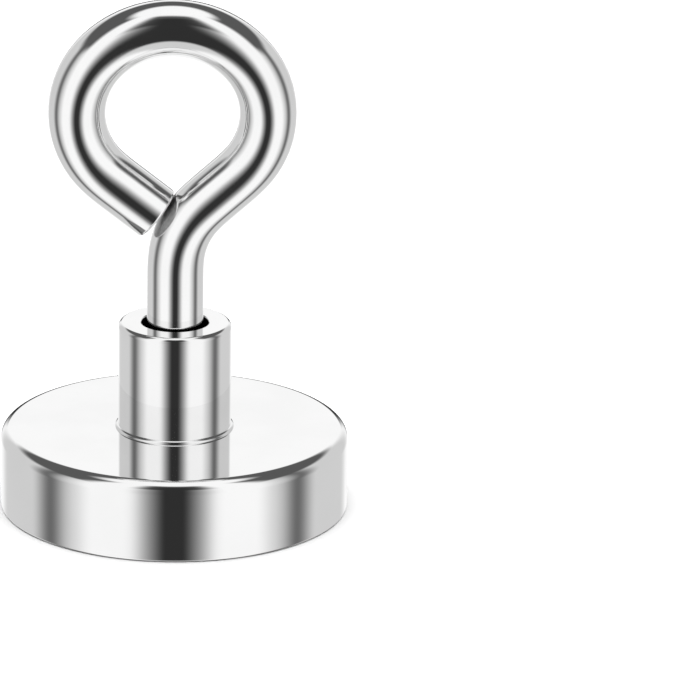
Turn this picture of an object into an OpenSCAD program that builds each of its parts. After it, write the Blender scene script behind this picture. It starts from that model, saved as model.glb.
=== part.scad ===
// Single-sided fishing magnet: a steel pot round a disc magnet, a threaded bush
// on its back and an eyebolt bent from one rod. The magnetic face lies on Z = 0
// and the bush's axis is +Z. The eye lies in the XZ plane.

/* [Pot] */
// Outer diameter of the steel cup
pot_d = 48; // [44:0.5:56]
// Height of the cup, face to back
pot_h = 11.3; // [10.5:0.1:13]
// Radius of the rounded shoulder round the cup's back
shoulder_r = 1.7; // [0.6:0.1:2]
// Thickness of the cup's roof
roof_t = 3.9; // [3.2:0.1:4]
// Thickness of the cup's wall at the rim
rim_t = 2.8; // [2:0.1:4]
// Edge break round the rim's outside and inside
rim_break = 0.3; // [0.1:0.05:0.5]

/* [Magnet] */
// Diameter of the magnet disc
magnet_d = 40.4; // [34:0.2:42]
// How far the magnet's face lies inside the rim
face_recess = 0.1; // [0.05:0.05:0.3]
// Edge break of the magnet disc
magnet_break = 0.35; // [0.2:0.05:0.6]
// Thickness of the adhesive under the magnet's back
film_t = 0.15; // [0.1:0.05:0.3]
// How far the potting resin lies inside the rim
resin_recess = 0.35; // [0.2:0.05:0.6]

/* [Bush] */
// Outer diameter of the boss
bush_d = 15.6; // [14:0.1:18]
// Height of the boss above the cup's back
bush_h = 15.1; // [12:0.1:18]
// Radius of the boss's rounded top edge
bush_edge_r = 0.75; // [0.3:0.05:1]
// Diameter of the plain mouth above the thread
mouth_d = 9.2; // [9:0.1:10]
// Depth of the plain mouth
mouth_depth = 5.0; // [3:0.1:6]
// Edge break round the mouth
mouth_break = 0.25; // [0.1:0.05:0.4]
// Diameter of the spigot that passes through the cup's roof
spigot_d = 12; // [11:0.1:13]
// Depth and width of the swaged lip that locks the spigot under the roof
swage = 0.7; // [0.4:0.1:1]
// Radius of the round bead at the boss's foot
bead_r = 0.42; // [0.3:0.02:0.8]

/* [Thread] */
// Pitch of the thread
pitch = 1.25; // [1.25]
// Diameter over the bolt's crests
bolt_major = 7.8; // [7.76:0.01:7.96]
// Diameter at the bolt's roots
bolt_minor = 6.47; // [6.4:0.01:6.6]
// Diameter at the roots of the bush's thread
bush_major = 8.1; // [8.05:0.01:8.2]
// Diameter over the crests of the bush's thread
bush_minor = 6.7; // [6.65:0.01:6.9]
// Shift of each flank away from the pitch diameter, measured on the radius
flank_gap = 0.07; // [0.05:0.01:0.1]
// Facets to a turn of the thread
turn_facets = 32; // [24:4:40]

/* [Eyebolt] */
// Diameter of the rod
rod_d = 7.8; // [7.6:0.1:8]
// Radius of the rod's centreline over the top of the eye
eye_top_r = 13.7; // [12:0.1:15]
// Radius of the rod's centreline at the eye's two sides
eye_side_r = 11.4; // [10:0.1:13]
// Angle above the horizontal at which the top arc meets the side arcs
eye_join_angle = 45; // [40:1:50]
// Height of the centres of the side arcs above the magnetic face
eye_z = 56; // [52:0.1:60]
// Offset of the eye's centre from the bush's axis
eye_x = -0.5; // [-1:0.1:1]
// Slope of the arm that runs down to the shank
shank_arm_angle = 41.8; // [38:0.2:45]
// Slope of the arm with the free end
free_arm_angle = 38; // [34:0.5:42]
// Radius of the centreline where the arm bends into the shank
bend_r = 11.2; // [10:0.1:13]
// Gap between the free end and the bend
end_gap = 0.15; // [0.1:0.05:0.5]
// Edge break round the free end
end_break = 0.35; // [0.2:0.05:0.6]
// Height of the shank's lower end above the magnet's back
tip_gap = 0.65; // [0.3:0.05:1]

/* [Thread lock] */
// Outer diameter of the cured ring round the shank
lock_d = 8.9; // [8.6:0.05:9]
// Height of the cured ring
lock_h = 0.8; // [0.5:0.1:1.2]

/* [Hidden] */

// facets of a round edge in the preview; true circles in the solids
round_fn = 96;
rod_fn = 48;
eps = 0.01;
// the bent rod is made of stretches with a narrow seam between them
seam = 0.05;
band_step = 0.02;

// cup and magnet
cavity_d = pot_d - 2 * rim_t;
roof_z = pot_h - roof_t;
magnet_back_z = roof_z - film_t;

// bush and shank
bush_top_z = pot_h + bush_h;
mouth_floor_z = bush_top_z - mouth_depth;
tip_z = roof_z + tip_gap;
// the plain shank starts inside the mouth, and the bolt's thread runs out in it
shank_z = mouth_floor_z + 1.3;
bolt_thread_len = shank_z + 0.3 - tip_z;
bolt_end_break = 0.25;
// the threaded void starts whole pitches below the tip, so the threads mesh
bush_thread_z = tip_z - 3 * pitch;
bush_thread_len = mouth_floor_z + 0.6 * pitch - bush_thread_z;

// ring of thread lock, a running fit on the shank
lock_z = shank_z + 0.35;
lock_bore_d = rod_d + 0.06;

// thread form: half-width of a tooth at a given radius, on 60 degree flanks
function tooth_half(r, pitch_r) = pitch / 4 - (r - pitch_r) * tan(30);
pitch_r = (8 - 0.6495 * pitch) / 2;

// eye: centres and meeting points of the arcs, as [x, z]
eye_c = [eye_x, eye_z];
side_shift = eye_top_r - eye_side_r;
top_c = eye_c - [0, side_shift * sin(eye_join_angle)];
right_c = eye_c + [side_shift * cos(eye_join_angle), 0];
left_c = eye_c - [side_shift * cos(eye_join_angle), 0];
right_end = right_c + eye_side_r * [sin(shank_arm_angle), -cos(shank_arm_angle)];
left_end = left_c - eye_side_r * [sin(free_arm_angle), cos(free_arm_angle)];
shank_dir = -[cos(shank_arm_angle), sin(shank_arm_angle)];
free_dir = [cos(free_arm_angle), -sin(free_arm_angle)];
// the bend's first point lies this far from the shank's axis
bend_x = bend_r * (1 - sin(shank_arm_angle));
shank_arm_len = (right_end[0] - bend_x) / cos(shank_arm_angle);
bend_start = right_end + shank_arm_len * shank_dir;
bend_c = [bend_r, bend_start[1] - bend_r * cos(shank_arm_angle)];

// the free arm stops where its edge comes within end_gap of the bend's rod:
// distance from the bend's centre to the end's upper corner, solved for length
corner_r = bend_r + rod_d / 2 + end_gap;
free_corner = left_end + rod_d / 2 * [sin(free_arm_angle), cos(free_arm_angle)] - bend_c;
corner_b = free_corner * free_dir;
corner_c = free_corner * free_corner - corner_r * corner_r;
free_arm_len = -corner_b - sqrt(corner_b * corner_b - corner_c);

// ---- helical thread ---------------------------------------------------------

// A solid thread from Z = 0 up to length. Four rows of points to a pitch follow
// the helix: tooth foot, crest, crest, foot. A row that runs past an end lies
// on that end's ring, and both ends taper to end_r.
module thread(length, root_r, crest_r, shift, end_r) {
    foot = tooth_half(root_r, pitch_r + shift) / pitch;
    crest = tooth_half(crest_r, pitch_r + shift) / pitch;
    phases = [-foot, -crest, crest, foot];
    radii = [root_r, crest_r, crest_r, root_r];
    n = turn_facets;
    last = 4 * (ceil(length / pitch) + 2) - 1;
    function height(j, i) =
        max(0, min(length, (floor(j / 4) - 1 + phases[j % 4] + i / n) * pitch));
    function on_ring(r, i, z) = [r * cos(360 * i / n), r * sin(360 * i / n), z];
    function limit(z) = end_r + min(z, length - z);
    points = [
        for (j = [0:last], i = [0:n - 1])
            let (z = height(j, i))
                on_ring(min(radii[j % 4], limit(z)), i, z)
    ];
    ends = [[0, 0, 0], [0, 0, length]];
    all_points = concat(points, ends);
    below = len(points);
    // the next column after the last one is the first, one turn higher
    function id(j, i) = i < n ? j * n + i : min(j + 4, last) * n + i - n;
    walls = [
        for (j = [0:last - 1], i = [0:n - 1])
            each [
                [id(j, i), id(j + 1, i), id(j + 1, i + 1)],
                [id(j, i), id(j + 1, i + 1), id(j, i + 1)]
            ]
    ];
    caps = [
        for (i = [0:n - 1])
            each [
                [below, i, (i + 1) % n],
                [below + 1, last * n + (i + 1) % n, last * n + i]
            ]
    ];
    function same(a, b) = norm(all_points[a] - all_points[b]) < 1e-6;
    function real(f) = !same(f[0], f[1]) && !same(f[1], f[2]) && !same(f[2], f[0]);
    polyhedron(points = all_points, faces = [for (f = concat(walls, caps)) if (real(f)) f]);
}

// ---- turned profiles --------------------------------------------------------

// Cylinder with a rounded top edge and a broken bottom edge.
module rounded_drum(d, h, top_r, bottom_break) {
    r = d / 2;
    rotate_extrude($fn = round_fn)
        union() {
            polygon([
                [0, 0], [r - bottom_break, 0], [r, bottom_break],
                [r, h - top_r], [r - top_r, h - top_r], [r - top_r, h], [0, h]
            ]);
            intersection() {
                translate([r - top_r, h - top_r])
                    circle(r = top_r, $fn = rod_fn);
                translate([r - top_r - eps, h - top_r - eps])
                    square(top_r + 2 * eps);
            }
        }
}

// ---- sub-parts --------------------------------------------------------------

module pot_cup() {
    color("silver")
        difference() {
            rounded_drum(pot_d, pot_h, shoulder_r, rim_break);
            // recess for the magnet, with its mouth's edge broken
            translate([0, 0, -1])
                cylinder(d = cavity_d, h = roof_z + 1, $fn = round_fn);
            translate([0, 0, -eps])
                cylinder(d1 = cavity_d + 2 * (rim_break + eps), d2 = cavity_d,
                         h = rim_break + eps, $fn = round_fn);
            // hole for the bush's spigot, flared below for the swaged lip
            translate([0, 0, roof_z - 1])
                cylinder(d = spigot_d, h = roof_t + 2, $fn = round_fn);
            translate([0, 0, roof_z - eps])
                cylinder(d1 = spigot_d + 2 * (swage + eps), d2 = spigot_d,
                         h = swage + eps, $fn = round_fn);
        }
}

module threaded_bush() {
    color("gainsboro")
        difference() {
            union() {
                translate([0, 0, pot_h])
                    rounded_drum(bush_d, bush_h, bush_edge_r, 0);
                translate([0, 0, roof_z])
                    cylinder(d = spigot_d, h = roof_t + 1, $fn = round_fn);
                translate([0, 0, roof_z])
                    cylinder(d1 = spigot_d + 2 * swage, d2 = spigot_d, h = swage,
                             $fn = round_fn);
            }
            translate([0, 0, mouth_floor_z])
                cylinder(d = mouth_d, h = mouth_depth + 1, $fn = round_fn);
            translate([0, 0, bush_top_z - mouth_break])
                cylinder(d1 = mouth_d, d2 = mouth_d + 2 * (mouth_break + eps),
                         h = mouth_break + eps, $fn = round_fn);
            translate([0, 0, bush_thread_z])
                thread(bush_thread_len, bush_minor / 2, bush_major / 2, flank_gap,
                       bush_minor / 2);
        }
}

module braze_ring() {
    color("silver")
        translate([0, 0, pot_h])
            rotate_extrude($fn = round_fn)
                difference() {
                    translate([bush_d / 2, 0])
                        circle(r = bead_r, $fn = rod_fn);
                    translate([0, -1])
                        square([bush_d / 2, 3]);
                    translate([0, -1])
                        square([bush_d, 1]);
                }
}

module disc_magnet() {
    color("lightgray")
        translate([0, 0, face_recess])
            rotate_extrude($fn = round_fn)
                polygon([
                    [0, 0],
                    [magnet_d / 2 - magnet_break, 0],
                    [magnet_d / 2, magnet_break],
                    [magnet_d / 2, magnet_back_z - face_recess],
                    [0, magnet_back_z - face_recess]
                ]);
}

module epoxy_ring() {
    color("dimgray")
        difference() {
            translate([0, 0, resin_recess])
                cylinder(d = cavity_d, h = roof_z - resin_recess, $fn = round_fn);
            translate([0, 0, -1])
                cylinder(d = magnet_d, h = roof_z + 2, $fn = round_fn);
        }
}

module adhesive_film() {
    color("khaki")
        translate([0, 0, magnet_back_z])
            cylinder(d = magnet_d, h = film_t, $fn = round_fn);
}

// An arc of the rod in the XZ plane, about the point c = [x, z]. Each end stops
// half a seam short, and a band at its start bridges the seam.
module rod_arc(c, radius, from, to) {
    trim = seam / 2 / radius * 180 / PI;
    translate([c[0], 0, c[1]])
        rotate([90, 0, 0])
            rotate_extrude(angle = to - from - 2 * trim, start = from + trim, $fn = 4 * rod_fn)
                translate([radius, 0])
                    circle(d = rod_d, $fn = rod_fn);
    band(c + radius * [cos(from), sin(from)], from + 90);
}

// A straight stretch of the rod from the point p = [x, z], along a slope.
module rod_run(p, slope, length) {
    translate([p[0], 0, p[1]])
        rotate([0, 90 - slope, 0])
            translate([0, 0, seam / 2])
                cylinder(d = rod_d, h = length - seam, $fn = rod_fn);
    band(p, slope);
}

// A short band, a hair wider than the rod, over the seam between two stretches.
module band(p, slope) {
    translate([p[0], 0, p[1]])
        rotate([0, 90 - slope, 0])
            cylinder(d = rod_d + band_step, h = 4 * seam, center = true, $fn = rod_fn);
}

module eyebolt() {
    color("whitesmoke")
        union() {
            translate([0, 0, tip_z])
                thread(bolt_thread_len, bolt_minor / 2, bolt_major / 2, -flank_gap,
                       bolt_minor / 2 - bolt_end_break);
            translate([0, 0, shank_z])
                cylinder(d = rod_d, h = bend_c[1] - seam - shank_z, $fn = rod_fn);
            band([0, bend_c[1]], 90);
            rod_arc(bend_c, bend_r, 90 + shank_arm_angle, 180);
            rod_run(bend_start, shank_arm_angle, shank_arm_len);
            rod_arc(right_c, eye_side_r, shank_arm_angle - 90, eye_join_angle);
            rod_arc(top_c, eye_top_r, eye_join_angle, 180 - eye_join_angle);
            rod_arc(left_c, eye_side_r, 180 - eye_join_angle, 270 - free_arm_angle);
            free_arm();
        }
}

// The straight arm that ends free, with its cut edge broken.
module free_arm() {
    r = rod_d / 2;
    translate([left_end[0], 0, left_end[1]])
        rotate([0, 90 + free_arm_angle, 0])
            rotate_extrude($fn = rod_fn)
                polygon([
                    [0, seam / 2], [r, seam / 2], [r, free_arm_len - end_break],
                    [r - end_break, free_arm_len], [0, free_arm_len]
                ]);
    band(left_end, -free_arm_angle);
}

module thread_lock_ring() {
    color("steelblue")
        translate([0, 0, lock_z])
            difference() {
                cylinder(d = lock_d, h = lock_h, $fn = rod_fn);
                translate([0, 0, -1])
                    cylinder(d = lock_bore_d, h = lock_h + 2, $fn = rod_fn);
            }
}

pot_cup();
threaded_bush();
braze_ring();
disc_magnet();
epoxy_ring();
adhesive_film();
eyebolt();
thread_lock_ring();
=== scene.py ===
import math

import bmesh
import bpy
from mathutils import Matrix, Vector


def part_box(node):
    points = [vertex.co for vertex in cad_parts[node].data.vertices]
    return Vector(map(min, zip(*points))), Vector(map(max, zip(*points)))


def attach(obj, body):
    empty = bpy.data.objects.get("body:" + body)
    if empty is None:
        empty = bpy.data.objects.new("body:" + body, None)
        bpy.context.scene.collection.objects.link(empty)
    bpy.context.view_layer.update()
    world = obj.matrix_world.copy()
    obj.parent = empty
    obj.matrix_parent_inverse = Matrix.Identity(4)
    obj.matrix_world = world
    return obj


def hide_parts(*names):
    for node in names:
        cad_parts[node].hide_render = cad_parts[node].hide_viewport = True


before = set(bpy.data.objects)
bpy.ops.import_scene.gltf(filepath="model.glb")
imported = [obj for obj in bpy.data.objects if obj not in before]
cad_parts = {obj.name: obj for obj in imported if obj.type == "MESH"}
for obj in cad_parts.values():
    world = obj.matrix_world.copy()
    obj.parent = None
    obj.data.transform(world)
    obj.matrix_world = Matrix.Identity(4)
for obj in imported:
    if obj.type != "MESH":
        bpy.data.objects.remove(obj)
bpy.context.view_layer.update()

MM = 0.001

# ---- sizes -------------------------------------------------------------------

cup_low, cup_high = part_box("pot_cup")
bush_low, bush_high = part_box("threaded_bush")
bead_low, bead_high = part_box("braze_ring")
magnet_low, magnet_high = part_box("disc_magnet")
resin_low, resin_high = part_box("epoxy_ring")
film_low, film_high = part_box("adhesive_film")
bolt_low, bolt_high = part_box("eyebolt")
lock_low, lock_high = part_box("thread_lock_ring")

POT_R = cup_high.x
POT_TOP = cup_high.z
ROOF_Z = bush_low.z
SHOULDER_R = 1.7 * MM
RIM_BREAK = 0.3 * MM
CAVITY_R = resin_high.x
SPIGOT_R = 6.0 * MM
SWAGE = 0.7 * MM

BUSH_R = 7.8 * MM
BUSH_TOP = bush_high.z
BUSH_EDGE_R = 0.79 * MM
BUSH_EDGE_REACH = 70
MOUTH_R = 4.6 * MM
MOUTH_DEPTH = 5.0 * MM
MOUTH_BREAK = 0.25 * MM
BEAD_R = bead_high.x - BUSH_R
BEAD_OVERLAP = 0.02 * MM

MAGNET_R = magnet_high.x
MAGNET_BREAK = 0.35 * MM

PITCH = 1.25 * MM
BOLT_CREST_R = 3.9 * MM
BOLT_ROOT_R = 3.235 * MM
BOLT_END_BREAK = 0.25 * MM
BUSH_CREST_R = 3.35 * MM
BUSH_ROOT_R = 4.05 * MM

ROD_R = 3.9 * MM
EYE_TOP_R = 13.7 * MM
EYE_SIDE_R = 11.4 * MM
EYE_JOIN = math.radians(45)
EYE_X = -0.5 * MM
SHANK_SLOPE = math.radians(41.8)
FREE_SLOPE = math.radians(38)
BEND_R = 11.2 * MM
END_GAP = 0.15 * MM
END_BREAK = 0.35 * MM
BLEND_LENGTH = 4.0 * MM

MOUTH_FLOOR = BUSH_TOP - MOUTH_DEPTH
TIP_Z = bolt_low.z
SHANK_Z = MOUTH_FLOOR + 1.3 * MM
EYE_Z = bolt_high.z - ROD_R - EYE_TOP_R + (EYE_TOP_R - EYE_SIDE_R) * math.sin(EYE_JOIN)

SEGMENTS = 192
ROD_SIDES = 96
THREAD_ROWS = 12
QUARTER = math.pi / 2


def on_circle(centre, radius, angle):
    return centre + radius * Vector((math.cos(angle), math.sin(angle)))


# the eye's arcs in the XZ plane, as (x, z): its top, its two sides, and the bend into the shank
EYE_C = Vector((EYE_X, EYE_Z))
SIDE_SHIFT = Vector(((EYE_TOP_R - EYE_SIDE_R) * math.cos(EYE_JOIN), 0))
RIGHT_C = EYE_C + SIDE_SHIFT
LEFT_C = EYE_C - SIDE_SHIFT
TOP_C = EYE_C - Vector((0, (EYE_TOP_R - EYE_SIDE_R) * math.sin(EYE_JOIN)))
RIGHT_END = on_circle(RIGHT_C, EYE_SIDE_R, SHANK_SLOPE - QUARTER)
LEFT_END = on_circle(LEFT_C, EYE_SIDE_R, 3 * QUARTER - FREE_SLOPE)
SHANK_ARM = (RIGHT_END.x - BEND_R * (1 - math.sin(SHANK_SLOPE))) / math.cos(SHANK_SLOPE)
BEND_START = RIGHT_END - SHANK_ARM * Vector((math.cos(SHANK_SLOPE), math.sin(SHANK_SLOPE)))
BEND_C = Vector((BEND_R, BEND_START.y - BEND_R * math.cos(SHANK_SLOPE)))

# the free arm is as long as leaves the end gap between its upper edge and the bend
FREE_WAY = Vector((math.cos(FREE_SLOPE), -math.sin(FREE_SLOPE)))
FREE_CORNER = LEFT_END + ROD_R * Vector((math.sin(FREE_SLOPE), math.cos(FREE_SLOPE))) - BEND_C
FREE_ALONG = FREE_CORNER.dot(FREE_WAY)
FREE_BEYOND = FREE_CORNER.length_squared - (BEND_R + ROD_R + END_GAP) ** 2
FREE_ARM = -FREE_ALONG - math.sqrt(FREE_ALONG ** 2 - FREE_BEYOND)
# the swept part of the free arm stops just short of the rounded edge of its end
FREE_RUN = FREE_ARM - END_BREAK - 0.05 * MM
PATH_STEPS = 360
BLEND_SAMPLES = 9


# ---- node trees --------------------------------------------------------------

class Wire:
    """A node's output. Arithmetic on wires adds Math nodes to their tree."""

    def __init__(self, tree, socket=None):
        self.tree = tree
        self.socket = socket

    def node(self, kind, settings=None, inputs=None, output=0):
        """Adds a node of any kind: its settings first, then its sockets' values or links."""
        made = self.tree.nodes.new(kind)
        for name, value in (settings or {}).items():
            setattr(made, name, value)
        for name, value in (inputs or {}).items():
            if isinstance(value, Wire):
                self.tree.links.new(value.socket, made.inputs[name])
            else:
                made.inputs[name].default_value = value
        return Wire(self.tree, made.outputs[output])

    def math(self, operation, *others):
        """A Math node on this wire and, where the operation takes them, other values."""
        return self.node("ShaderNodeMath", {"operation": operation}, dict(enumerate((self,) + others)))

    def __add__(self, other):
        return self.math("ADD", other)

    def __sub__(self, other):
        return self.math("SUBTRACT", other)

    def __mul__(self, other):
        return self.math("MULTIPLY", other)

    def __rsub__(self, other):
        return self.node("ShaderNodeMath", {"operation": "SUBTRACT"}, {0: other, 1: self})

    __radd__ = __add__
    __rmul__ = __mul__

    def least(self, other):
        return self.math("MINIMUM", other)

    def most(self, other):
        return self.math("MAXIMUM", other)

    def absolute(self):
        return self.math("ABSOLUTE")

    def split(self):
        """The X, Y and Z of a vector."""
        parts = self.node("ShaderNodeSeparateXYZ", None, {"Vector": self}).socket.node
        return [Wire(self.tree, parts.outputs[axis]) for axis in "XYZ"]

    def rise(self, start, end, low=0.0, high=1.0):
        """Goes smoothly from low to high as the wire goes from start to end."""
        inputs = {"Value": self, "From Min": start, "From Max": end, "To Min": low, "To Max": high}
        return self.node("ShaderNodeMapRange", {"interpolation_type": "SMOOTHSTEP"}, inputs)

    def window(self, low, high, soft):
        """1 between low and high, and 0 outside, with soft edges."""
        half = soft / 2
        return self.rise(low - half, low + half) * self.rise(high - half, high + half, 1.0, 0.0)

    def blend(self, other, share):
        """This value where share is 0 and the other where it is 1."""
        return self + (other - self) * share


# ---- mesh helpers ------------------------------------------------------------

def add_object(name, mesh):
    made = bpy.data.objects.new(name, mesh)
    bpy.context.scene.collection.objects.link(made)
    return made


def arc(centre, radius, start, end, steps):
    """Points of an arc in the (radius, height) plane, angles in degrees."""
    turns = [math.radians(start + (end - start) * i / steps) for i in range(steps + 1)]
    return [(centre[0] + radius * math.cos(t), centre[1] + radius * math.sin(t)) for t in turns]


def straight(start, end, inset=0.05 * MM):
    """A straight stretch with a point close to each end, which keeps it flat next to a curve."""
    a, b = Vector(start), Vector(end)
    step = (b - a).normalized() * inset
    return [tuple(a), tuple(a + step), tuple(b - step), tuple(b)]


def without_repeats(points):
    kept = []
    for p in points:
        if not kept or math.dist(p, kept[-1]) > 1e-7:
            kept.append(p)
    return kept


def turned_mesh(name, outline, closed=True, sides=SEGMENTS):
    """Turns an outline of (radius, height) points about the Z axis."""
    outline = without_repeats(outline)
    if closed and math.dist(outline[0], outline[-1]) < 1e-7:
        outline.pop()
    shape = bmesh.new()
    rings = []
    for radius, height in outline:
        if radius < 1e-9:
            rings.append([shape.verts.new((0, 0, height))] * sides)
            continue
        angles = [2 * math.pi * i / sides for i in range(sides)]
        rings.append([shape.verts.new((radius * math.cos(a), radius * math.sin(a), height)) for a in angles])
    pairs = list(zip(rings, rings[1:] + rings[:1] if closed else rings[1:]))
    for low, high in pairs:
        for i in range(sides):
            j = (i + 1) % sides
            corners = list(dict.fromkeys([low[i], low[j], high[j], high[i]]))
            if len(corners) > 2:
                shape.faces.new(corners)
    mesh = bpy.data.meshes.new(name)
    shape.to_mesh(mesh)
    shape.free()
    return mesh


def clean(mesh, merge=1e-7, sharp=32):
    """Merges doubles, turns the faces outwards and shades smooth except over sharp edges."""
    shape = bmesh.new()
    shape.from_mesh(mesh)
    bmesh.ops.remove_doubles(shape, verts=shape.verts, dist=merge)
    bmesh.ops.recalc_face_normals(shape, faces=shape.faces)
    shape.to_mesh(mesh)
    shape.free()
    mesh.polygons.foreach_set("use_smooth", [True] * len(mesh.polygons))
    mesh.set_sharp_from_angle(angle=math.radians(sharp))
    mesh.update()
    return mesh


def turned(name, outline, material):
    mesh = clean(turned_mesh(name, outline))
    mesh.materials.append(material)
    return add_object(name, mesh)


# ---- geometry nodes ----------------------------------------------------------

def shape_tree(name, sizes, whole=()):
    """A geometry tree with a geometry socket each way and one named input for each size."""
    tree = bpy.data.node_groups.new(name, "GeometryNodeTree")
    tree.interface.new_socket("Geometry", in_out="INPUT", socket_type="NodeSocketGeometry")
    tree.interface.new_socket("Geometry", in_out="OUTPUT", socket_type="NodeSocketGeometry")
    for size in sizes:
        kind = "NodeSocketInt" if size in whole else "NodeSocketFloat"
        tree.interface.new_socket(size, in_out="INPUT", socket_type=kind)
    tree.interface.new_socket("Material", in_out="INPUT", socket_type="NodeSocketMaterial")
    entry = tree.nodes.new("NodeGroupInput")
    return tree, {s.name: Wire(tree, s) for s in entry.outputs if s.name}


def close_tree(tree, geometry, material):
    """Ends a tree in Realize Instances and Set Material."""
    real = geometry.node("GeometryNodeRealizeInstances", None, {"Geometry": geometry})
    done = real.node("GeometryNodeSetMaterial", None, {"Geometry": real, "Material": material})
    leaving = tree.nodes.new("NodeGroupOutput")
    tree.links.new(done.socket, leaving.inputs["Geometry"])


def grow(name, source, tree, values):
    """Runs a tree on the source object's data and returns the result as a plain mesh object."""
    carrier = add_object(name + "_source", source)
    modifier = carrier.modifiers.new(tree.name, "NODES")
    modifier.node_group = tree
    for item in tree.interface.items_tree:
        if item.in_out == "INPUT" and item.name in values:
            modifier[item.identifier] = values[item.name]
    bpy.context.view_layer.update()
    evaluated = carrier.evaluated_get(bpy.context.evaluated_depsgraph_get())
    mesh = bpy.data.meshes.new_from_object(evaluated)
    bpy.data.objects.remove(carrier)
    mesh.name = name
    return mesh


def thread_tree():
    """A helical thread about the Z axis, as a grid sheared so that its rows follow the helix."""
    sizes = ["Start", "Length", "Lead", "Pitch", "Root radius", "Crest radius", "End radius",
             "Crest width", "Root width", "Cap", "Sides", "Rows", "Turns"]
    tree, size = shape_tree("Helical thread", sizes, ("Sides", "Rows", "Turns"))
    start = size["Start"]
    rows = size["Rows"] * size["Turns"]
    grid_inputs = {"Size X": 1.0, "Size Y": 1.0, "Vertices X": size["Sides"] + 1, "Vertices Y": rows + 1}
    grid = start.node("GeometryNodeMeshGrid", None, grid_inputs, "Mesh")
    across, up, flat = start.node("GeometryNodeInputPosition").split()
    around = across + 0.5
    turn = (up + 0.5) * size["Turns"] + around
    # a crest is where the turn is a whole number and a half
    from_crest = (turn.math("FRACT") - 0.5).absolute() * size["Pitch"]
    free_height = (turn - 2.5) * size["Pitch"] + size["Lead"]
    length = size["Length"]
    height = free_height.most(0.0).least(length)
    flank_inputs = {"Value": from_crest, "From Min": size["Crest width"] * 0.5,
                    "From Max": size["Pitch"] * 0.5 - size["Root width"] * 0.5,
                    "To Min": size["Crest radius"], "To Max": size["Root radius"]}
    flank = start.node("ShaderNodeMapRange", None, flank_inputs)
    taper = size["End radius"] + height.least(length - height)
    outside = (height - free_height).absolute().math("GREATER_THAN", size["Pitch"] * 0.6)
    radius = flank.least(taper) * (1 - outside * size["Cap"])
    angle = around * (2 * math.pi)
    inputs = {"X": radius * angle.math("COSINE"), "Y": radius * angle.math("SINE"), "Z": height + start}
    point = start.node("ShaderNodeCombineXYZ", None, inputs)
    moved = start.node("GeometryNodeSetPosition", None, {"Geometry": grid, "Position": point})
    merged = start.node("GeometryNodeMergeByDistance", None, {"Geometry": moved, "Distance": 1e-7})
    close_tree(tree, merged, size["Material"])
    return tree


def rod_tree():
    """A round rod swept along the source curve, with closed ends."""
    tree, size = shape_tree("Bent rod", ["Radius", "Sides"], ("Sides",))
    path = size["Geometry"]
    profile = path.node("GeometryNodeCurvePrimitiveCircle", {"mode": "RADIUS"},
                        {"Resolution": size["Sides"], "Radius": size["Radius"]})
    inputs = {"Curve": path, "Profile Curve": profile, "Fill Caps": True,
              "Scale": path.node("GeometryNodeInputRadius")}
    close_tree(tree, path.node("GeometryNodeCurveToMesh", None, inputs), size["Material"])
    return tree


# ---- materials ---------------------------------------------------------------

# painted shade: the dark colour, and the roughness, given to the plate where shade is painted in
PAINTED_SHADE_TONE = 0.03
PAINTED_SHADE_ROUGHNESS = 0.3


def surface(name, metallic=0.0, roughness=0.5, color=(0.8, 0.8, 0.8, 1), **constants):
    """A material with one Principled shader; returns it, the shader and the Object coordinates."""
    material = bpy.data.materials.new(name)
    material.use_nodes = True
    shader = material.node_tree.nodes["Principled BSDF"]
    shader.inputs["Metallic"].default_value = metallic
    shader.inputs["Roughness"].default_value = roughness
    shader.inputs["Base Color"].default_value = color
    for socket, value in constants.items():
        shader.inputs[socket.replace("_", " ")].default_value = value
    coords = Wire(material.node_tree).node("ShaderNodeTexCoord", output="Object")
    return material, shader, coords


def feed(shader, socket, wire):
    wire.tree.links.new(wire.socket, shader.inputs[socket])


def noise(coords, scale, detail=3.0, roughness=0.5, stretch=(1, 1, 1)):
    """Fine noise on the object's coordinates; scale is in spots to a millimetre."""
    settings = {"vector_type": "POINT"}
    mapped = coords.node("ShaderNodeMapping", settings, {"Vector": coords, "Scale": stretch})
    inputs = {"Vector": mapped, "Scale": scale / MM, "Detail": detail, "Roughness": roughness}
    return coords.node("ShaderNodeTexNoise", None, inputs)


def polar(coords):
    """The point's distance from the Z axis, and its height."""
    x, y, z = coords.split()
    return (x * x + y * y).math("SQRT"), z


def turning_marks(coords, spacing):
    """Very fine rings left by the lathe: noise that only changes with radius and height."""
    radius, z = polar(coords)
    rings = coords.node("ShaderNodeCombineXYZ", None, {"X": radius, "Y": z, "Z": 0.0})
    inputs = {"Vector": rings, "Scale": 1 / spacing, "Detail": 4.0, "Roughness": 0.6}
    return coords.node("ShaderNodeTexNoise", None, inputs)


def scratches(coords, scale, turn, width=0.012):
    """Hairline scratches along one direction: thin level lines of a long, stretched noise."""
    inputs = {"Vector": coords, "Rotation": turn, "Scale": (1, 0.06, 1)}
    mapped = coords.node("ShaderNodeMapping", {"vector_type": "POINT"}, inputs)
    field = coords.node("ShaderNodeTexNoise", None, {"Vector": mapped, "Scale": scale / MM, "Detail": 1.0})
    line = (field - 0.5).absolute().rise(0.0, width, 1.0, 0.0)
    patches = noise(coords, 0.12, 2.0).rise(0.5, 0.66)
    return line * patches


def bump(shader, height, strength, distance):
    inputs = {"Height": height, "Strength": strength, "Distance": distance}
    feed(shader, "Normal", height.node("ShaderNodeBump", None, inputs))


def grey(wire, tint=(1.0, 1.0, 1.0)):
    """A grey of this value, with a slight tint."""
    inputs = {"Red": wire * tint[0], "Green": wire * tint[1], "Blue": wire * tint[2]}
    return wire.node("ShaderNodeCombineColor", None, inputs)


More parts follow.
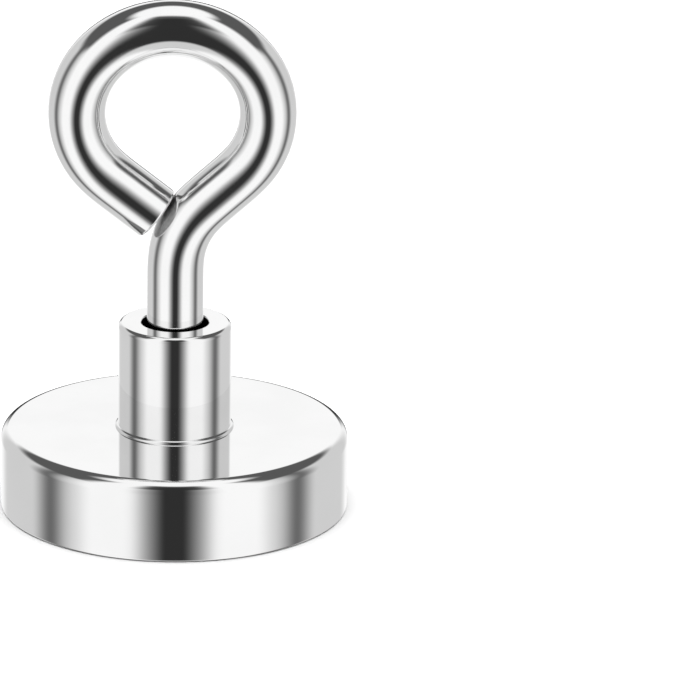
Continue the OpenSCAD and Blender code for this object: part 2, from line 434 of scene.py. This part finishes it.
def bright_plate(name, tone, polish, ring_spacing, marks, scuffs, painted_shade=None):
    """Bright nickel plate over turned steel; the last argument says where shade is painted in as a dark
    plate colour.
    """
    material, shader, coords = surface(name, metallic=1.0, roughness=polish)
    clouds = noise(coords, 0.09, 3.0)
    hairs = scratches(coords, 1.1, (0.0, 0.0, 0.5)).most(scratches(coords, 0.8, (0.4, 0.9, 2.2)))
    rings = turning_marks(coords, ring_spacing)
    shade = clouds.rise(0.3, 0.7, tone - 0.02, tone + 0.01)
    rough = clouds.rise(0.35, 0.7, polish, polish * 1.5) + rings * 0.01 + hairs * scuffs
    # painted shade: the plate's colour is made dark where the mask says
    if painted_shade:
        shade = shade.blend(PAINTED_SHADE_TONE, painted_shade(coords))
        rough = rough.blend(PAINTED_SHADE_ROUGHNESS, painted_shade(coords))
    feed(shader, "Base Color", grey(shade))
    feed(shader, "Roughness", rough)
    bump(shader, rings * marks + hairs * -0.2, 0.2, 0.0004 * MM)
    return material


def painted_rim_shade(coords):
    """Painted shade: a dark hairline where the cup's wall meets what it stands on, in place of a contact
    shadow.
    """
    radius, z = polar(coords)
    return z.window(0.008 * MM, 0.17 * MM, 0.02 * MM) * radius.rise(POT_R - 0.5 * MM, POT_R - 0.4 * MM)


def painted_bore_shade(coords):
    """Painted shade: the inside of the mouth and the threaded bore below it, made near black."""
    radius, z = polar(coords)
    return radius.rise(MOUTH_R + 0.03 * MM, MOUTH_R + 0.08 * MM, 1.0, 0.0)


def polished_rod(name, tone, polish):
    """Bright plate over drawn rod, with a faint orange peel and light scuffs."""
    material, shader, coords = surface(name, metallic=1.0, roughness=polish)
    clouds = noise(coords, 0.12, 3.0)
    hairs = scratches(coords, 0.9, (1.2, 0.3, 0.2)).most(scratches(coords, 1.4, (0.2, 1.1, 1.3)))
    orange_peel = noise(coords, 0.35, 1.0)
    cut = cut_face(coords)
    tears = noise(coords, 3.0, 3.0, 0.5, (1.0, 0.08, 1.0))
    shade = clouds.rise(0.3, 0.7, tone - 0.02, tone + 0.01)
    feed(shader, "Base Color", grey(shade.blend(tears * 0.3 + 0.32, cut)))
    rough = clouds.rise(0.35, 0.7, polish, polish * 1.8) + hairs * 0.05
    feed(shader, "Roughness", rough.blend(tears * 0.3 + 0.3, cut))
    bump(shader, orange_peel + hairs * -0.1 + cut * tears, 0.15, 0.01 * MM)
    return material


def cut_face(coords):
    """The sheared face at the rod's free end, which lies square to the free arm."""
    centre = LEFT_END + FREE_ARM * FREE_WAY
    along = {0: coords, 1: (FREE_WAY.x, 0, FREE_WAY.y)}
    reach = coords.node("ShaderNodeVectorMath", {"operation": "DOT_PRODUCT"}, along, "Value")
    away = {0: coords, 1: (centre.x, 0, centre.y)}
    spread = coords.node("ShaderNodeVectorMath", {"operation": "DISTANCE"}, away, "Value")
    end = centre.dot(FREE_WAY)
    at_end = reach.window(end - 0.02 * MM, end + 0.02 * MM, 0.01 * MM)
    return at_end * spread.rise(ROD_R, ROD_R * 1.01, 1.0, 0.0)


def rolled_thread(name):
    """Plated thread: duller in the roots, brighter on the crests."""
    material, shader, coords = surface(name, metallic=1.0, roughness=0.2)
    radius, z = polar(coords)
    crest = radius.rise(BOLT_ROOT_R, BOLT_CREST_R)
    dirt = noise(coords, 1.2, 4.0)
    feed(shader, "Base Color", grey(crest * 0.25 + 0.45 + dirt * 0.12))
    feed(shader, "Roughness", (1 - crest) * 0.18 + 0.14 + dirt * 0.08)
    bump(shader, noise(coords, 4.0, 3.0), 0.3, 0.01 * MM)
    return material


def satin_magnet(name):
    """Barrel-plated nickel on a ground magnet: satin, with tiny pits and grinding lines."""
    material, shader, coords = surface(name, metallic=1.0, roughness=0.28)
    lines = noise(coords, 2.2, 4.0, 0.6, (1.0, 0.05, 1.0))
    clouds = noise(coords, 0.1, 3.0)
    pits = noise(coords, 1.6, 2.0).rise(0.68, 0.74)
    feed(shader, "Base Color", grey(clouds.rise(0.3, 0.7, 0.66, 0.74) - pits * 0.12, (1.0, 0.985, 0.96)))
    feed(shader, "Roughness", clouds.rise(0.3, 0.7, 0.22, 0.34) + lines * 0.08 + pits * 0.2)
    bump(shader, lines * 0.6 - pits, 0.4, 0.01 * MM)
    return material


def cast_resin(name):
    """Black potting resin, glossy where it has flowed, with a few trapped bubbles."""
    material, shader, coords = surface(name, roughness=0.22)
    clouds = noise(coords, 0.5, 4.0)
    bubbles = coords.node("ShaderNodeTexVoronoi", None, {"Vector": coords, "Scale": 0.9 / MM}, "Distance")
    pinholes = bubbles.rise(0.05, 0.16, 1.0, 0.0)
    feed(shader, "Base Color", grey(clouds * 0.025 + 0.012, (1.0, 1.0, 1.12)))
    feed(shader, "Roughness", clouds * 0.3 + 0.1)
    bump(shader, clouds * 0.5 - pinholes, 0.6, 0.05 * MM)
    return material


def cured_adhesive(name, color, cloud_scale):
    material, shader, coords = surface(name, roughness=0.35, color=color, Coat_Weight=0.2)
    clouds = noise(coords, cloud_scale, 4.0)
    tint = coords.node("ShaderNodeMix", {"data_type": "RGBA"}, {0: clouds, 6: color}, 2)
    shade = tuple(c * 0.55 for c in color[:3]) + (1,)
    tint.socket.node.inputs[7].default_value = shade
    feed(shader, "Base Color", tint)
    feed(shader, "Roughness", clouds * 0.3 + 0.2)
    bump(shader, clouds, 0.4, 0.05 * MM)
    return material


# the cup's plate has painted shade along the bottom of its rim
plate = bright_plate("Bright nickel plate on the cup", 0.93, 0.02, 0.05 * MM, 0.5, 0.03, painted_rim_shade)
# the bush's plate has painted shade inside its mouth and bore
bush_plate = bright_plate("Bright nickel plate on the bush", 0.93, 0.015, 0.05 * MM, 0.3, 0.03, painted_bore_shade)
bead_plate = bright_plate("Plated braze", 0.88, 0.08, 0.2 * MM, 0.5, 0.05)
rod_plate = polished_rod("Polished plate on the rod", 0.94, 0.045)
thread_plate = rolled_thread("Plated thread")
magnet_plate = satin_magnet("Satin nickel on the magnet")
resin = cast_resin("Black potting resin")
glue = cured_adhesive("Cured adhesive", (0.62, 0.52, 0.28, 1), 0.4)
# partly painted shade: the compound is blue, but its colour is made near black to stand for the shade in the
# gap round the shank
thread_lock = cured_adhesive("Cured thread lock", (0.004, 0.008, 0.02, 1), 1.5)


# ---- pot ---------------------------------------------------------------------

def make_cup():
    r, top, k = POT_R, POT_TOP, RIM_BREAK
    outline = arc((r - k, k), k, -90, 0, 6)
    outline += straight((r, k), (r, top - SHOULDER_R))
    outline += arc((r - SHOULDER_R, top - SHOULDER_R), SHOULDER_R, 0, 90, 24)
    outline += straight((r - SHOULDER_R, top), (SPIGOT_R, top))
    outline += [(SPIGOT_R, ROOF_Z + SWAGE), (SPIGOT_R + SWAGE, ROOF_Z), (CAVITY_R, ROOF_Z)]
    outline += straight((CAVITY_R, ROOF_Z), (CAVITY_R, k))
    outline += arc((CAVITY_R + k, k), k, 180, 270, 6)
    outline += straight((CAVITY_R + k, 0), (r - k, 0))
    return turned("cup_turned", outline, plate)


def make_bush():
    """The boss, its plain mouth and its spigot, welded to a threaded bore.

    Its upper edge is an arc that meets the flat top at a slight crease.
    """
    r, top, e = BUSH_R, BUSH_TOP, BUSH_EDGE_R
    outline = [(BUSH_CREST_R, ROOF_Z), (SPIGOT_R + SWAGE, ROOF_Z), (SPIGOT_R, ROOF_Z + SWAGE)]
    outline += [(SPIGOT_R, POT_TOP), (r, POT_TOP)]
    reach = math.radians(BUSH_EDGE_REACH)
    crease = r - e * (1 - math.cos(reach))
    shoulder = top - e * math.sin(reach)
    outline += straight((r, POT_TOP), (r, shoulder))
    outline += arc((r - e, shoulder), e, 0, BUSH_EDGE_REACH, 16)
    outline += straight((crease, top), (MOUTH_R + MOUTH_BREAK, top))
    outline += arc((MOUTH_R + MOUTH_BREAK, top - MOUTH_BREAK), MOUTH_BREAK, 90, 180, 6)
    outline += straight((MOUTH_R, top - MOUTH_BREAK), (MOUTH_R, MOUTH_FLOOR))
    outline += [(BUSH_CREST_R, MOUTH_FLOOR)]
    mesh = turned_mesh("bush_turned", outline, closed=False)
    bore = make_thread("bush_bore", ROOF_Z, MOUTH_FLOOR - ROOF_Z, BUSH_CREST_R, BUSH_ROOT_R,
                       BUSH_CREST_R, 0.12 * MM, 0.16 * MM, 0.0, SEGMENTS)
    shape = bmesh.new()
    shape.from_mesh(mesh)
    shape.from_mesh(bore)
    shape.to_mesh(mesh)
    shape.free()
    clean(mesh, 1e-6)
    mesh.materials.clear()
    mesh.materials.append(bush_plate)
    return add_object("bush_turned", mesh)


def make_thread(name, start, length, root_r, crest_r, end_r, crest_w, root_w, cap, sides):
    """A crest starts at the bolt's tip, so the bolt's crests lie in the bush's grooves."""
    values = {"Start": start, "Length": length, "Lead": (TIP_Z - start) % PITCH, "Pitch": PITCH,
              "Root radius": root_r, "Crest radius": crest_r, "End radius": end_r,
              "Crest width": crest_w, "Root width": root_w, "Cap": cap, "Sides": sides,
              "Rows": THREAD_ROWS, "Turns": math.ceil(length / PITCH) + 5, "Material": thread_plate}
    return grow(name, bpy.data.meshes.new(name), helical_thread, values)


def make_bead():
    """A quarter-round bead in the corner between the boss and the cup."""
    inner = BUSH_R - BEAD_OVERLAP
    outline = arc((BUSH_R, POT_TOP), BEAD_R, 0, 90, 20)
    outline += [(inner, POT_TOP + BEAD_R), (inner, POT_TOP)]
    return turned("braze_bead", outline, bead_plate)


def make_magnet():
    r, k, low, high = MAGNET_R, MAGNET_BREAK, magnet_low.z, magnet_high.z
    outline = [(0, low)] + straight((0.01 * MM, low), (r - k, low))
    outline += arc((r - k, low + k), k, -90, 0, 8)
    outline += straight((r, low + k), (r, high)) + [(0, high)]
    return turned("magnet_disc", outline, magnet_plate)


def make_resin():
    """Resin with a meniscus that climbs the magnet and the cup's wall."""
    low, high = resin_low.z, resin_high.z
    inner, outer = MAGNET_R, CAVITY_R
    steps = 12
    bowl = []
    for i in range(steps + 1):
        share = i / steps
        sag = (2 * share - 1) ** 4
        bowl.append((inner + (outer - inner) * share, low + 0.12 * MM * (1 - sag)))
    return turned("resin_ring", bowl + [(outer, high), (inner, high)], resin)


def make_film():
    low, high, r = film_low.z, film_high.z, film_high.x
    bulge = (high - low) / 2
    outline = [(0, low), (r - bulge, low)] + arc((r - bulge, low + bulge), bulge, -90, 90, 6)
    return turned("glue_film", outline + [(0, high)], glue)


# ---- eyebolt -----------------------------------------------------------------

def rod_runs():
    """Each run of the rod, from the shank round the eye to the free end: its length and its turn."""
    bend_turn = QUARTER - SHANK_SLOPE
    right_turn = EYE_JOIN + QUARTER - SHANK_SLOPE
    top_turn = math.pi - 2 * EYE_JOIN
    left_turn = QUARTER + EYE_JOIN - FREE_SLOPE
    return ((BEND_C.y - SHANK_Z, 0.0), (BEND_R * bend_turn, -bend_turn), (SHANK_ARM, 0.0),
            (EYE_SIDE_R * right_turn, right_turn), (EYE_TOP_R * top_turn, top_turn),
            (EYE_SIDE_R * left_turn, left_turn), (FREE_RUN, 0.0))


def heading(along, runs):
    """The rod's direction at a distance along it, where each run keeps to one radius."""
    angle = QUARTER
    for length, turn in runs:
        share = min(max(along / length, 0.0), 1.0)
        angle += turn * share
        along -= length
    return angle


def eye_path():
    """The rod's centreline in the XZ plane; a bent rod passes gradually from one radius to the next."""
    runs = rod_runs()
    total = sum(length for length, turn in runs)
    step = total / PATH_STEPS
    spread = [BLEND_LENGTH * (i / (BLEND_SAMPLES - 1) - 0.5) for i in range(BLEND_SAMPLES)]
    points = [Vector((0, SHANK_Z))]
    for i in range(PATH_STEPS):
        middle = (i + 0.5) * step
        angle = sum(heading(middle + shift, runs) for shift in spread) / BLEND_SAMPLES
        points.append(on_circle(points[-1], step, angle))
    # the blended path ends a hair away from where the free arm does, so that is shared out along it
    drift = LEFT_END + FREE_RUN * FREE_WAY - points[-1]
    points = [point + drift * i / PATH_STEPS for i, point in enumerate(points)]
    widths = [1.0] * len(points)
    steps = 6
    for i in range(steps + 1):
        turn = QUARTER * i / steps
        points.append(LEFT_END + (FREE_ARM - END_BREAK * (1 - math.sin(turn))) * FREE_WAY)
        widths.append(1 - END_BREAK / ROD_R * (1 - math.cos(turn)))
    return points, widths


def make_rod():
    points, widths = eye_path()
    path = bpy.data.curves.new("eye_path", "CURVE")
    path.dimensions = "3D"
    line = path.splines.new("POLY")
    line.points.add(len(points) - 1)
    for target, point, width in zip(line.points, points, widths):
        target.co = (point.x, 0, point.y, 1)
        target.radius = width
    values = {"Radius": ROD_R, "Sides": ROD_SIDES, "Material": rod_plate}
    mesh = grow("eyebolt_rod", path, bent_rod, values)
    return add_object("eyebolt_rod", clean(mesh, 1e-7, 50))


def make_bolt_thread():
    mesh = make_thread("eyebolt_thread", TIP_Z, SHANK_Z + 0.3 * MM - TIP_Z, BOLT_ROOT_R, BOLT_CREST_R,
                       BOLT_ROOT_R - BOLT_END_BREAK, 0.2 * MM, 0.2 * MM, 1.0, ROD_SIDES)
    return add_object("eyebolt_thread", clean(mesh, 1e-7, 40))


def make_lock_ring():
    """Cured compound: a low ring round the shank with a rounded, uneven outside."""
    low, high, outer = lock_low.z, lock_high.z, lock_high.x
    inner = ROD_R + 0.03 * MM
    half = (high - low) / 2
    outline = [(inner, high), (inner, low)]
    outline += [(outer - half, low)] + arc((outer - half, low + half), half, -90, 90, 10)
    return turned("thread_lock_bead", outline, thread_lock)


helical_thread = thread_tree()
bent_rod = rod_tree()

cup = make_cup()
bush = make_bush()
bead = make_bead()
magnet = make_magnet()
resin_ring = make_resin()
film = make_film()
rod = make_rod()
bolt_thread = make_bolt_thread()
lock_ring = make_lock_ring()

for piece, body, node, slot in (
    (cup, "pot", "pot_cup", "plated_steel"),
    (bush, "pot", "threaded_bush", "plated_bush"),
    (bead, "pot", "braze_ring", "braze"),
    (magnet, "pot", "disc_magnet", "magnet_plating"),
    (resin_ring, "pot", "epoxy_ring", "potting_resin"),
    (film, "pot", "adhesive_film", "adhesive"),
    (rod, "eyebolt", "eyebolt", "eyebolt_steel"),
    (bolt_thread, "eyebolt", "eyebolt", "eyebolt_steel"),
    (lock_ring, "thread_lock", "thread_lock_ring", "thread_lock"),
):
    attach(piece, body)
    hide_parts(node)


# ---- studio ------------------------------------------------------------------

def make_floor():
    """A pale floor that only shows from above, so that the magnetic face can be seen from below."""
    material, shader, coords = surface("Pale floor", roughness=0.9, color=(0.9, 0.9, 0.9, 1))
    start = Wire(material.node_tree)
    under = start.node("ShaderNodeNewGeometry", output="Backfacing")
    clear = start.node("ShaderNodeBsdfTransparent")
    mixed = start.node("ShaderNodeMixShader", None, {0: under, 2: clear})
    material.node_tree.links.new(shader.outputs[0], mixed.socket.node.inputs[1])
    material.node_tree.links.new(mixed.socket, material.node_tree.nodes["Material Output"].inputs[0])
    half = 3.0
    level = -0.02 * MM
    mesh = bpy.data.meshes.new("floor")
    corners = [(-half, -half, level), (half, -half, level), (half, half, level), (-half, half, level)]
    mesh.from_pydata(corners, [], [(0, 1, 2, 3)])
    mesh.materials.append(material)
    floor = add_object("floor", mesh)
    floor.visible_glossy = False


WALL_TONE = 0.65
PANEL_TONE = 1.0
PAPER_TONE = 1.0
FLAG_TONE = 0.15
UPPER_TONE = 0.1
ROOF_TONE = 1.0
DARK_TONE = 0.03


def tent_light(azimuth, elevation):
    """How bright the tent is towards a direction, in degrees; azimuth 0 is where the camera is."""
    aside = azimuth.absolute()

    # grey walls, with a soft panel and then a dark flag on each side, and white paper behind
    panels = aside.window(25, 65, 20)
    light = panels * (PANEL_TONE - WALL_TONE) + WALL_TONE
    light = light.blend(FLAG_TONE, aside.window(80, 100, 20))
    light = light.blend(PAPER_TONE, aside.rise(145, 165))

    # the upper walls are dark between the panels, under a white roof
    light = light.blend(UPPER_TONE, elevation.rise(25, 35) * (1 - panels))
    light = light.blend(ROOF_TONE, elevation.rise(60, 70))

    # the dark opening for the camera, and a dark skirting behind, which draws the outline
    opening = aside.rise(5, 30, 1.0, 0.0) * elevation.window(-40, 55, 10)
    skirting = aside.rise(160, 170) * elevation.window(-15, 10, 5)
    return light.blend(DARK_TONE, opening.most(skirting))


def make_light_tent():
    """The world: a pale tent with a bright roof, seen mostly as reflections in the plating."""
    world = bpy.data.worlds.new("Light tent")
    bpy.context.scene.world = world
    world.use_nodes = True
    tree = world.node_tree
    x, y, z = Wire(tree).node("ShaderNodeTexCoord", output="Generated").split()
    degrees = 180 / math.pi
    light = tent_light(x.math("ARCTAN2", 0 - y) * degrees, z.math("ARCSINE") * degrees)
    tree.links.new(light.socket, tree.nodes["Background"].inputs["Color"])


def make_lamp():
    """A large soft lamp overhead, which the polished metal doesn't mirror."""
    lamp = bpy.data.lights.new("overhead", "AREA")
    lamp.shape = "DISK"
    lamp.size = 0.9
    lamp.energy = 6.0
    height = 0.6
    made = bpy.data.objects.new("overhead", lamp)
    made.location = (0, 0, height)
    made.visible_glossy = False
    bpy.context.scene.collection.objects.link(made)


def make_camera():
    """A long lens, a little above the magnet, which stands left of the middle of the frame."""
    distance = 0.8
    height = math.radians(18.72)
    aim_down = height - math.radians(0.207)
    aim_right = math.radians(1.714)
    roll = math.radians(0.85)
    focal_length = 301.734
    target = Vector((0, 0, 0.02))
    place = target + distance * Vector((0, -math.cos(height), math.sin(height)))
    look = Vector((math.sin(aim_right) * math.cos(aim_down), math.cos(aim_right) * math.cos(aim_down),
                   -math.sin(aim_down)))
    right = Vector((math.cos(aim_right), -math.sin(aim_right), 0))
    up = right.cross(look)
    tilted_right = math.cos(roll) * right + math.sin(roll) * up
    tilted_up = math.cos(roll) * up - math.sin(roll) * right
    lens = bpy.data.cameras.new("camera")
    lens.sensor_width = 36.0
    lens.lens = focal_length
    camera = bpy.data.objects.new("camera", lens)
    axes = Matrix((tilted_right, tilted_up, -look)).transposed()
    camera.matrix_world = Matrix.Translation(place) @ axes.to_4x4()
    bpy.context.scene.collection.objects.link(camera)
    bpy.context.scene.camera = camera


make_floor()
make_light_tent()
make_lamp()
make_camera()
bpy.context.scene.view_settings.view_transform = "Standard"
